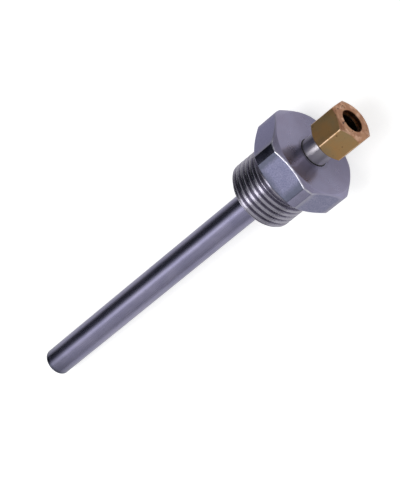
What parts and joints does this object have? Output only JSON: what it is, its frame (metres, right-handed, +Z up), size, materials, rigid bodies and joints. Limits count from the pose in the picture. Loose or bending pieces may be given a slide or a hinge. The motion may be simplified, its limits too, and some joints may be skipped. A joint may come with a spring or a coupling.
{
  "type": "thermowell",
  "caption": "Screw-in thermowell: hexagon plug with a parallel pipe thread, closed stem tube, and a brass gland nut that clamps a probe.",
  "frame": {"origin": "centre of the seal face under the hexagon, on the axis of the well", "axes": "+X from the tip of the stem towards the gland nut, the well's axis being tipped up from it by 4.96 degrees about Y, the way the part lies; +Z up; +Y across"},
  "size_m": [0.1322, 0.0296, 0.0276],
  "materials": {
    "plug_steel": "turned and milled, fine tool marks",
    "tube_steel": "drawn and polished",
    "ring_brass": "turned",
    "nut_brass": "turned and milled, slightly tarnished"
  },
  "bodies": {
    "well": {"hex_plug": "plug_steel", "stem_tube": "tube_steel", "tip_disc": "tube_steel"},
    "ring": {"clamp_ring": "ring_brass"},
    "nut": {"gland_nut": "nut_brass"}
  },
  "joints": [
    {"name": "ring_slide", "type": "slide", "parent": "well", "child": "ring", "axis": [0.9963, 0, 0.0864], "range_m": [0, 0.0055]},
    {"name": "nut_turn", "type": "hinge", "parent": "ring", "child": "nut", "pos_m": [0, 0, 0], "axis": [0.9963, 0, 0.0864], "range_deg": [0, 1980]}
  ],
  "couplings": [
    {"joint": "ring_slide", "follows": "nut_turn", "m_per_rad": 0.00015915}
  ]
}
